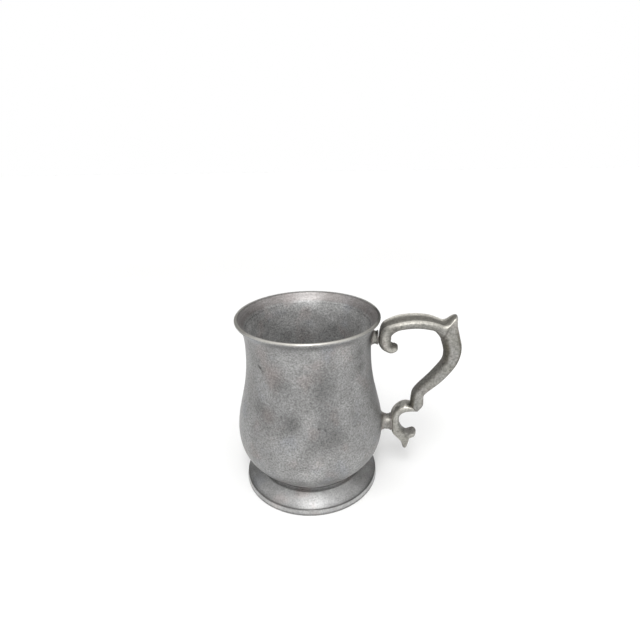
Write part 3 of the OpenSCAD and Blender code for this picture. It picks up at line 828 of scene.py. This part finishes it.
class Scroll:
    """A scroll's skin: a rounded section at each row, how far each point looks outward, and its edges"""

    # Shares of the half width between which the channel rises to its rim
    CHANNEL = (0.52, 0.72)
    # Share of the inner face's darkening that runs on round the sides as painted shade, and how far down they
    # start to take it and take all of it
    ROUND_SHARE, ROUND_FADE = 0.95, (0.3, 0.8)
    # How quickly the sides' tarnish and painted shade and the ridges' wear and painted highlight fade towards
    # the faces
    SIDE_FADE, RIDGE_FADE = 1.5, 2

    def __init__(self, rows, squareness):
        """A squareness of 2 makes a section an oval, and a larger one a rounded box."""
        turn = np.linspace(0, 2 * math.pi, SECTION_POINTS, endpoint=False)
        power = np.broadcast_to(squareness, len(rows))[:, None]
        reach = (np.abs(np.cos(turn)) ** power + np.abs(np.sin(turn)) ** power) ** (-1 / power)
        self.across, self.up = np.cos(turn) * reach, np.sin(turn) * reach
        side = np.sign(self.across) * np.abs(self.across) ** (power - 1)
        face = np.sign(self.up) * np.abs(self.up) ** (power - 1)
        self.facing = face / np.hypot(side, face)
        self.edge = 2 * np.abs(side * face) / (side**2 + face**2)
        middle, arm = (rows[:, 0:2] + rows[:, 2:4]) / 2, (rows[:, 0:2] - rows[:, 2:4]) / 2
        outer_w, inner_w, hollow = rows[:, 4:5], rows[:, 5:6], rows[:, 6:7]
        width = inner_w + (outer_w - inner_w) * (self.up + 1) / 2
        channel = np.clip(self.up, 0, 1) * (1 - eased(*self.CHANNEL, np.abs(self.across)))
        sunk = hollow * channel / np.linalg.norm(arm, axis=1, keepdims=True)
        place = middle[:, None] + (self.up - sunk)[..., None] * arm[:, None]
        self.points = np.stack([place[..., 0], self.across * width / 2, place[..., 1]], axis=-1)

    def marks(self, outer, sides, inner, edges, ridge, spread=0.0):
        """How much tarnish and painted shade, and how much wear and painted highlight, each point takes, from
        values for each row.

        These are for the outer face, sides, inner face, edges and ridges, and for the spread of the inner
        face's darkening round the sides as painted shade.
        """
        values = (outer, sides, inner, edges, ridge, spread)
        columns = (np.broadcast_to(value, len(self.up))[:, None] for value in values)
        outer, sides, inner, edges, ridge, spread = columns
        outward, inward = np.clip(self.facing, 0, 1), np.clip(-self.facing, 0, 1)
        rim = eased(*self.CHANNEL, np.abs(self.across)) * outward
        deep = np.maximum(inward, self.ROUND_SHARE * eased(*self.ROUND_FADE, spread - self.up))
        sideways = 1 - np.abs(self.facing)
        tarnish_and_shade = outer * outward * (1 - rim * edges) + inner * deep + sides * sideways**self.SIDE_FADE
        rubbed_and_highlit = edges * np.maximum(self.edge**2 * (self.facing > 0), rim)
        rubbed_and_highlit = rubbed_and_highlit + ridge * sideways**self.RIDGE_FADE
        return {"tarnish_and_shade": tarnish_and_shade, "rubbed_and_highlit": rubbed_and_highlit}


def domed(rows, reach):
    """Rows whose last ones shrink, so that the scroll ends in a dome."""
    least = 0.01
    middles = (rows[:, 0:2] + rows[:, 2:4]) / 2
    steps = np.linalg.norm(np.diff(middles, axis=0), axis=1)
    left = np.append(np.cumsum(steps[::-1])[::-1], 0)
    size = np.sqrt(np.clip(1 - (1 - np.minimum(left / reach, 1)) ** 2, least, 1))[:, None]
    arms = (rows[:, 0:2] - rows[:, 2:4]) / 2
    return np.hstack([middles + arms * size, middles - arms * size, rows[:, 4:6] * size, rows[:, 6:7]])


def lumpy(grid, lumps):
    """Raises low lumps on a scroll, each given by its point, its reach and its height."""
    ways = grid - grid.mean(axis=1, keepdims=True)
    ways = ways / np.linalg.norm(ways, axis=-1, keepdims=True)
    raised = grid
    for point, reach, height in lumps:
        away = np.linalg.norm(grid - np.array(point), axis=-1, keepdims=True)
        raised = raised + ways * height * np.exp(-((away / reach) ** 2))
    return raised


# Operators

class TANKARD_OT_body(bpy.types.Operator):
    """Neck and belly castings, lapped and soldered into one smooth body"""

    bl_idname = "tankard.body"
    bl_label = "Body"

    def execute(self, context):
        settings = context.scene.tankard
        sizes = settings.sizes
        body = BodyCurve(sizes)
        low = body.place_at(sizes.seam_z - sizes.film)
        low_film = body.place_at(sizes.seam_z)
        high = body.place_at(sizes.seam_z - sizes.film + sizes.lap_h)
        high_film = body.place_at(sizes.seam_z + sizes.lap_h)
        lip_line = body.place_at(sizes.body_h - sizes.lip_depth, sizes.wall)
        floor_line = body.place_at(FLOOR_HIGH.z, sizes.wall)
        skirt = (sizes.wall - sizes.film) / 2
        tongue = (sizes.wall + sizes.film) / 2
        finishes = [finish_named("body_outside", settings), finish_named("body_inside", settings)]

        neck_outside = np.concatenate([body.run(low_film, body.end, 0), body.lip()])
        neck_inside = np.concatenate([
            body.run(body.end, lip_line, sizes.wall - sizes.lip_relief),
            body.run(lip_line, high_film, sizes.wall),
            body.run(high_film, low_film, skirt),
        ])
        turn_piece("neck_casting", neck_outside, finishes, sizes, neck_inside)

        belly_outside = np.concatenate([body.run(0, low, 0), body.run(low, high, tongue)])
        hole_r = sizes.bowl_base_d / 2 - sizes.floor_ledge
        belly_inside = np.concatenate([
            body.run(high, floor_line, sizes.wall),
            [[hole_r, FLOOR_HIGH.z], [hole_r, sizes.bowl_z]],
        ])
        turn_piece("belly_casting", belly_outside, finishes, sizes, belly_inside)

        seam_outside = np.concatenate([body.points(low_film, 0), body.points(low, 0)])
        seam_inside = np.concatenate([
            body.run(low, high, tongue), body.points(high, sizes.wall), body.points(high_film, sizes.wall),
            body.run(high_film, low_film, skirt),
        ])
        turn_piece("neck_solder", seam_outside, finishes, sizes, seam_inside)
        return {"FINISHED"}


class TANKARD_OT_floor(bpy.types.Operator):
    """Floor disc of the bowl and the soldered seam round it"""

    bl_idname = "tankard.floor"
    bl_label = "Floor"

    # Dish of the disc, height of the solder bead and points along a radius
    DISH = 0.25 * MM
    BEAD = 0.15 * MM
    RADII = 12

    def execute(self, context):
        settings = context.scene.tankard
        sizes = settings.sizes
        low, high, rim = FLOOR_LOW.z, FLOOR_HIGH.z, FLOOR_HIGH.x
        inside = finish_named("body_inside", settings)
        radii = np.linspace(0, rim, self.RADII)
        top = np.stack([radii, high - self.DISH * (1 - (radii / rim) ** 2)], axis=-1)
        bottom = np.stack([radii[::-1], low + self.DISH * (1 - (radii[::-1] / rim) ** 2)], axis=-1)
        turn_piece("bowl_floor", np.concatenate([top, bottom]), [inside], sizes)
        edge = rim + sizes.film
        middle = rim + sizes.film / 2
        bead = [[rim, low], [rim, high], [middle, high + self.BEAD], [edge, high], [edge, low], [middle, low]]
        turn_piece("floor_solder", bead, [inside], sizes)
        return {"FINISHED"}


class TANKARD_OT_foot(bpy.types.Operator):
    """Spreading foot with its edge band, turned line and cove, and the seam under the bowl"""

    bl_idname = "tankard.foot"
    bl_label = "Foot"

    # Where the slope's curve is pulled to, as shares of its run and rise, its points, and the corners' radius
    EDGE_RUN = 0.3
    EDGE_RISE = 0.37
    CREASE_RUN = 0.34
    CREASE_FALL = 0.33
    SLOPE_STEPS = 30
    SOFT = 0.3 * MM

    def execute(self, context):
        settings = context.scene.tankard
        sizes = settings.sizes
        finish = finish_named("foot_turned", settings)
        edge, top, line = sizes.foot_d / 2, FOOT_HIGH.z, sizes.line_w
        band_r = edge - sizes.band_draft
        seat_r = sizes.bowl_base_d / 2 + sizes.seat_ledge
        crease_r, crease_z = seat_r + sizes.cove_w, top - sizes.crease_drop
        slope_z = sizes.band_h + line
        rise_z, run = crease_z - slope_z, band_r - line - crease_r
        hole, inner = sizes.foot_hole_d / 2, edge - sizes.rest_w
        slope = bezier([
            [band_r - line / 2, slope_z],
            [band_r - line - run * self.EDGE_RUN, slope_z + rise_z * self.EDGE_RISE],
            [crease_r + run * self.CREASE_RUN, crease_z - rise_z * self.CREASE_FALL],
            [crease_r, crease_z],
        ], np.linspace(0, 1, self.SLOPE_STEPS))
        band = rounded([
            [crease_r, crease_z - sizes.foot_t], [inner, slope_z - sizes.foot_t], [inner, 0], [edge, 0],
            [band_r, sizes.band_h], [band_r - line, sizes.band_h + line / 4],
            [band_r - line, slope_z - line / 4], [band_r - line / 2, slope_z],
        ], self.SOFT)[CORNER_STEPS:-CORNER_STEPS]
        cove = rounded([
            [crease_r, crease_z], [seat_r + sizes.cove_w / 2, crease_z], [seat_r, (crease_z + top) / 2],
            [seat_r, top], [hole, top], [hole, top - sizes.foot_t], [crease_r, crease_z - sizes.foot_t],
        ], self.SOFT)[CORNER_STEPS:]
        turn_piece("foot_ring", np.concatenate([band, slope, cove]), [finish], sizes)
        base = sizes.bowl_base_d / 2
        low, high = top, sizes.bowl_z
        middle = (low + high) / 2
        seam = [[hole, low], [base, low], [base - sizes.film / 2, middle], [base, high], [hole, high],
                [hole + sizes.film / 2, middle]]
        turn_piece("foot_solder", seam, [finish], sizes)
        return {"FINISHED"}


class TANKARD_OT_lugs(bpy.types.Operator):
    """The two lugs that carry the handle, with their solder fillets and end beads"""

    bl_idname = "tankard.lugs"
    bl_label = "Lugs"

    # How far hidden edges are sunk, how dull the lugs are, and rings along each form
    SINK = 0.3 * MM
    DULL = 0.22
    LUG_RINGS = 14
    FILLET_RINGS = 8
    BEAD_RINGS = 8
    # Bead at the end of each lug, and how much taller its fillet is on top
    UPPER_BEAD, UPPER_TALL = 0.45 * MM, 0.3
    LOWER_BEAD, LOWER_TALL = 0.6 * MM, 0.9
    # Rise of a bead above the lug, and its shift towards the handle, as shares of the bead
    BEAD_RISE, BEAD_SHIFT = 0.7, 0.3

    def execute(self, context):
        settings = context.scene.tankard
        sizes = settings.sizes
        plan = HandlePlan(sizes)
        body = BodyCurve(sizes)
        finish, solder = finish_named("handle_worn", settings), finish_named("soft_solder", settings)
        lugs = (("upper_lug", plan.volute, sizes.upper_lug_d, self.UPPER_BEAD, self.UPPER_TALL),
                ("lower_lug", plan.tail, sizes.lower_lug_d, self.LOWER_BEAD, self.LOWER_TALL))
        for name, seat, waist_d, bead, tall in lugs:
            turn = np.linspace(0, 2 * math.pi, AROUND_LUG, endpoint=False)
            across, up = np.cos(turn), np.sin(turn)

            def ring(radius, share, lift):
                """A ring round the lug at a share of the way from the body to the handle."""
                y, z = radius * across, seat[1] + radius * up
                skin = np.sqrt(body.radius_at(z) ** 2 - y**2)
                return np.stack([skin + (seat[0] - sizes.film - skin) * share + lift, y, z], axis=-1)

            def radius_at(share):
                """The lug's radius, least at its waist."""
                return waist_d / 2 + sizes.lug_swell * (2 * share - 1) ** 2

            rings = [ring(radius_at(0), 0, -self.SINK)]
            rings += [ring(radius_at(s), s, 0) for s in np.linspace(0, 1, self.LUG_RINGS)]
            dull = np.full((len(rings), AROUND_LUG), self.DULL)
            make_piece(name, [(np.array(rings), False)], [finish], marks={"tarnish_and_shade": dull})

            leg, root = sizes.root_fillet * (1 + tall * np.clip(up, 0, 1) ** 2), radius_at(0)
            bends = np.linspace(0, math.pi / 2, self.FILLET_RINGS)
            fillet = [ring(root + leg * (1 - math.sin(a)), 0, leg * (1 - math.cos(a))) for a in bends]
            fillet += [ring(root - self.SINK, 0, leg), ring(root - self.SINK, 0, -self.SINK)]
            fillet += [ring(root + leg, 0, -self.SINK)]
            end = radius_at(1)
            bends = np.linspace(0, math.pi, self.BEAD_RINGS)
            collar = [ring(end - self.SINK, 1, -bead)]
            for a in bends:
                lift = bead * (self.BEAD_SHIFT - math.cos(a))
                collar.append(ring(end + bead * math.sin(a) * self.BEAD_RISE, 1, lift))
            collar += [ring(end - self.SINK, 1, bead * (1 + self.BEAD_SHIFT))]
            shells = [(np.array(fillet), True), (np.array(collar), False)]
            make_piece(name + "_solder", shells, [solder])
        return {"FINISHED"}


class TANKARD_OT_scroll(bpy.types.Operator):
    """Large scroll of the handle: volute, hollowed arch, thumb spur, grip and arm"""

    bl_idname = "tankard.scroll"
    bl_label = "Large scroll"

    # How far from its end the scroll is domed
    TIP = 1.6 * MM
    # A fine line along both sides of the bend: its depth, its place as a share of the way up a side, its
    # reach and how much it is darkened
    STRIP = 0.3 * MM
    STRIP_UP, STRIP_REACH, STRIP_DULL = 0.74, 0.08, 0.6
    # Squareness of the section at some stations
    SQUARE_AT, SQUARENESS = (0, 5, 8, 15, 17, 20), (2.3, 2.4, 2.7, 2.7, 3.2, 3.6)
    # Stations between which each stretch begins or ends: volute, arch, bend, its fine line, arm and heel, and
    # the corner where painted shade spreads from the inner face round the sides
    VOLUTE_END, ARCH_START, ARCH_END = (5.5, 7.5), (0.3, 2), (15, 16.5)
    BEND_START, LINE_END, BEND_END = (16, 18), (21, 22.5), (21, 23)
    ARM_START, HEEL_START, HEEL_BACK = (20, 21.5), (23.5, 25), (24, 25.5)
    CORNER_START, CORNER_END, CORNER_SPREAD = (15.5, 17), (18.5, 20), 0.15

    def execute(self, context):
        settings = context.scene.tankard
        sizes = settings.sizes
        rows, places = smooth_rows(HandlePlan(sizes).scroll(sizes))
        rows = domed(rows[::-1], self.TIP)[::-1]
        skin = Scroll(rows, np.interp(places, self.SQUARE_AT, self.SQUARENESS))
        arch = eased(*self.ARCH_START, places) * (1 - eased(*self.ARCH_END, places))
        bend = eased(*self.BEND_START, places)
        strip = (bend * (1 - eased(*self.LINE_END, places)))[:, None]
        strip = strip * np.exp(-(((skin.up - self.STRIP_UP) / self.STRIP_REACH) ** 2))
        strip = strip * (np.abs(skin.across) > self.STRIP_UP)
        grid = skin.points
        grid[..., 1] -= np.sign(skin.across) * self.STRIP * strip
        finish = finish_named("handle_worn", settings)
        volute = 1 - eased(*self.VOLUTE_END, places)
        arm = eased(*self.ARM_START, places) * (1 - eased(*self.HEEL_START, places))
        # Tarnish and painted shade of each face, and wear and painted highlights of the edges: a share all
        # along, and what each stretch changes
        sides = 0.1 + 0.2 * arch * (1 - volute)
        outer = 0.1 + 0.65 * arch + 0.8 * bend * (1 - eased(*self.BEND_END, places))
        outer = outer + 0.5 * eased(*self.HEEL_BACK, places)
        inner = 0.8 + 0.3 * bend - 0.5 * arm
        edges = 0.35 + 0.65 * arch * (1 - 0.7 * volute) - 0.3 * bend
        corner = eased(*self.CORNER_START, places) * (1 - eased(*self.CORNER_END, places))
        # The ridge along the volute's sides takes a painted highlight
        marks = skin.marks(outer, sides, inner, edges, 0.35 * volute, self.CORNER_SPREAD * corner)
        marks["tarnish_and_shade"] += self.STRIP_DULL * strip
        shells = [(uneven(grid, sizes), False)]
        make_piece("handle_scroll", shells, [finish], marks=marks)
        return {"FINISHED"}


class TANKARD_OT_tail(bpy.types.Operator):
    """Tail scroll of the handle with its finial and hook, and the solder at the joint"""

    bl_idname = "tankard.tail"
    bl_label = "Tail scroll"

    # How far from its end the scroll is domed, and how square its section is
    TIP = 2.4 * MM
    SQUARENESS = 3.2
    # The solder pad: its swell, and rings as shares of its thickness and of the swell
    PAD_SWELL = 0.14 * MM
    PAD_RINGS = ((0, 0), (0.2, 1), (0.8, 1), (1, 0))
    # Stations between which the top's wear and painted light ends, and the back's tarnish and painted shade
    # and the finial begin or end
    TOP_END, BACK_START, FINIAL_START, FINIAL_END = (3, 5), (3, 4.5), (8, 9.5), (12, 13)
    # Lumps of solder on top of the tail: place from the lower lug's seat, reach and height, in millimetres
    LUMPS = (
        ((9.4, -1.6, 15.2), 1.5, 0.45), ((6.8, 1.5, 14.6), 1.7, 0.4), ((5.2, -2.6, 13.4), 1.3, 0.45),
        ((3.4, -0.4, 12), 1.6, 0.4), ((2.2, -3, 10.2), 1.2, 0.35), ((8, -3.8, 14.6), 1.2, 0.35),
    )

    def execute(self, context):
        settings = context.scene.tankard
        sizes = settings.sizes
        plan = HandlePlan(sizes)
        rows, places = smooth_rows(plan.tail_scroll(sizes))
        skin = Scroll(domed(rows, self.TIP), self.SQUARENESS)
        seat = np.array([plan.tail[0], 0, plan.tail[1]])
        lumps = [(seat + MM * np.array(point), MM * reach, MM * tall) for point, reach, tall in self.LUMPS]
        grid = lumpy(skin.points, lumps)
        finish = finish_named("handle_worn", settings)
        outer = 0.05 + 0.9 * eased(*self.BACK_START, places)
        finial = eased(*self.FINIAL_START, places) * (1 - eased(*self.FINIAL_END, places))
        # The finial's sides take painted shade
        marks = skin.marks(outer, 0.1 + 0.4 * finial, 0.4, 0.9 - 0.6 * finial, 0.25)
        # Wear and painted light on the top of the tail by the joint
        marks["rubbed_and_highlit"] += 0.7 * (1 - eased(*self.TOP_END, places))[:, None] * np.clip(skin.facing, 0, 1)
        make_piece("handle_tail", [(uneven(grid, sizes), False)], [finish], marks=marks)

        end = plan.scroll(sizes)[-1]
        face = Scroll(end[None], self.SQUARENESS).points[0]
        ways = face - face.mean(axis=0)
        ways = ways / np.linalg.norm(ways, axis=-1, keepdims=True)
        film = sizes.film * np.array([plan.JOINT_SLANT[0], 0, plan.JOINT_SLANT[1]])
        pad = [face + ways * swell * self.PAD_SWELL + film * share for share, swell in self.PAD_RINGS]
        solder = finish_named("soft_solder", settings)
        make_piece("tail_solder", [(np.array(pad), False)], [solder])
        return {"FINISHED"}


class TANKARD_OT_stage(bpy.types.Operator):
    """Pale floor, soft light and the camera"""

    bl_idname = "tankard.stage"
    bl_label = "Stage"

    # The floor, and the camera: its place, its turns, lens and sensor, and the nearest that it sees
    FLOOR_HALF = 3.0
    FLOOR_Z = -0.1 * MM
    CAMERA_AT = Vector((26.8, -257.5, 218)) * MM
    YAW, PITCH, ROLL = math.radians(-4.24), math.radians(22.07), math.radians(-1.16)
    LENS, SENSOR, NEAREST = 25.3125, 36.0, 10 * MM
    # The soft light: where it hangs, what it looks at, its width and depth, and its power in watts
    LIGHT_AT, LIGHT_AIM = Vector((0.03, -0.52, 0.69)), Vector((0, 0, 0.05))
    LIGHT_SIZE, LIGHT_POWER = (0.22, 0.5), 2.7
    # Glow of the room all round, and what its front and top add and its sides take away
    ROOM_GLOW, FRONT_GLOW, TOP_GLOW, SIDE_LOSS = 0.42, 0.83, 0.8, 0.25

    def execute(self, context):
        settings = context.scene.tankard
        scene = context.scene
        mesh = bpy.data.meshes.new("stage_floor")
        sides = ((-1, -1), (1, -1), (1, 1), (-1, 1))
        corners = [(x * self.FLOOR_HALF, y * self.FLOOR_HALF, self.FLOOR_Z) for x, y in sides]
        mesh.from_pydata(corners, [], [(0, 1, 2, 3)])
        mesh.materials.append(finish_named("stage_floor", settings))
        floor = bpy.data.objects.new("stage_floor", mesh)
        scene.collection.objects.link(floor)
        light = bpy.data.lights.new("front_top", "AREA")
        light.shape = "RECTANGLE"
        light.size, light.size_y = self.LIGHT_SIZE
        light.energy = self.LIGHT_POWER
        lamp = bpy.data.objects.new("front_top", light)
        lamp.location = self.LIGHT_AT
        lamp.rotation_euler = (self.LIGHT_AIM - self.LIGHT_AT).to_track_quat("-Z", "Y").to_euler()
        scene.collection.objects.link(lamp)
        self.light_room(scene)
        self.set_camera(scene)
        scene.view_settings.view_transform = "Standard"
        return {"FINISHED"}

    def light_room(self, scene):
        """A white backdrop for the camera, and a room that is bright in front and above and dim behind."""
        world = bpy.data.worlds.new("studio")
        world.use_nodes = True
        scene.world = world
        tree = world.node_tree
        backdrop = tree.nodes["Background"]
        coordinates = tree.nodes.new("ShaderNodeTexCoord")
        way = Wire(tree, coordinates.outputs["Generated"])
        split = tree.nodes.new("ShaderNodeSeparateXYZ")
        tree.links.new(way.socket, split.inputs[0])
        side, back, height = (Wire(tree, socket) for socket in split.outputs)
        front, top = 1 - rise(back, -0.5, 0.5), rise(height, 0.5, 0.95)
        dim = rise(abs(side), 0.2, 0.8) * rise(back, -0.6, 0.1) * (1 - rise(height, 0.2, 0.6))
        glow = self.ROOM_GLOW + self.FRONT_GLOW * front + self.TOP_GLOW * top - self.SIDE_LOSS * dim
        room = way.node("ShaderNodeBackground", {}, {"Strength": glow})
        seen = way.node("ShaderNodeLightPath", {}, {}, "Is Camera Ray")
        backdrop.inputs["Color"].default_value = (1, 1, 1, 1)
        both = way.node("ShaderNodeMixShader", {}, {0: seen, 1: room, 2: Wire(tree, backdrop.outputs[0])})
        tree.links.new(both.socket, tree.nodes["World Output"].inputs[0])

    def set_camera(self, scene):
        """Camera where the photographer stood, looking a little down."""
        lens = bpy.data.cameras.new("camera")
        lens.lens, lens.sensor_width, lens.sensor_fit = self.LENS, self.SENSOR, "HORIZONTAL"
        lens.clip_start = self.NEAREST
        camera = bpy.data.objects.new("camera", lens)
        level = Vector((math.sin(self.YAW), math.cos(self.YAW), 0))
        ahead = math.cos(self.PITCH) * level - math.sin(self.PITCH) * Vector((0, 0, 1))
        right = Vector((math.cos(self.YAW), -math.sin(self.YAW), 0))
        up = right.cross(ahead)
        turned_right = math.cos(self.ROLL) * right + math.sin(self.ROLL) * up
        turned_up = math.cos(self.ROLL) * up - math.sin(self.ROLL) * right
        facing = Matrix((turned_right, turned_up, -ahead)).transposed()
        camera.matrix_world = Matrix.Translation(self.CAMERA_AT) @ facing.to_4x4()
        scene.collection.objects.link(camera)
        scene.camera = camera


class TANKARD_PT_build(bpy.types.Panel):
    """Sizes, colours and pieces of the tankard"""

    bl_label = "Tankard"
    bl_space_type = "VIEW_3D"
    bl_region_type = "UI"
    bl_category = "Tankard"

    def draw(self, context):
        settings = context.scene.tankard
        for group in (settings.sizes, settings.colours):
            box = self.layout.box()
            for label in group.__annotations__:
                box.prop(group, label)
        for step in STEPS:
            self.layout.operator(step.bl_idname)


GROUPS = (TankardSizes, TankardColours, TankardSettings)
STEPS = (
    TANKARD_OT_body, TANKARD_OT_floor, TANKARD_OT_foot, TANKARD_OT_lugs, TANKARD_OT_scroll, TANKARD_OT_tail,
    TANKARD_OT_stage,
)


def register():
    for kind in (*GROUPS, *STEPS, TANKARD_PT_build):
        bpy.utils.register_class(kind)
    bpy.types.Scene.tankard = PointerProperty(type=TankardSettings)


def unregister():
    del bpy.types.Scene.tankard
    for kind in reversed((*GROUPS, *STEPS, TANKARD_PT_build)):
        bpy.utils.unregister_class(kind)


def main():
    """Builds every piece and the stage."""
    register()
    bpy.ops.tankard.body()
    bpy.ops.tankard.floor()
    bpy.ops.tankard.foot()
    bpy.ops.tankard.lugs()
    bpy.ops.tankard.scroll()
    bpy.ops.tankard.tail()
    bpy.ops.tankard.stage()


if __name__ == "__main__":
    main()
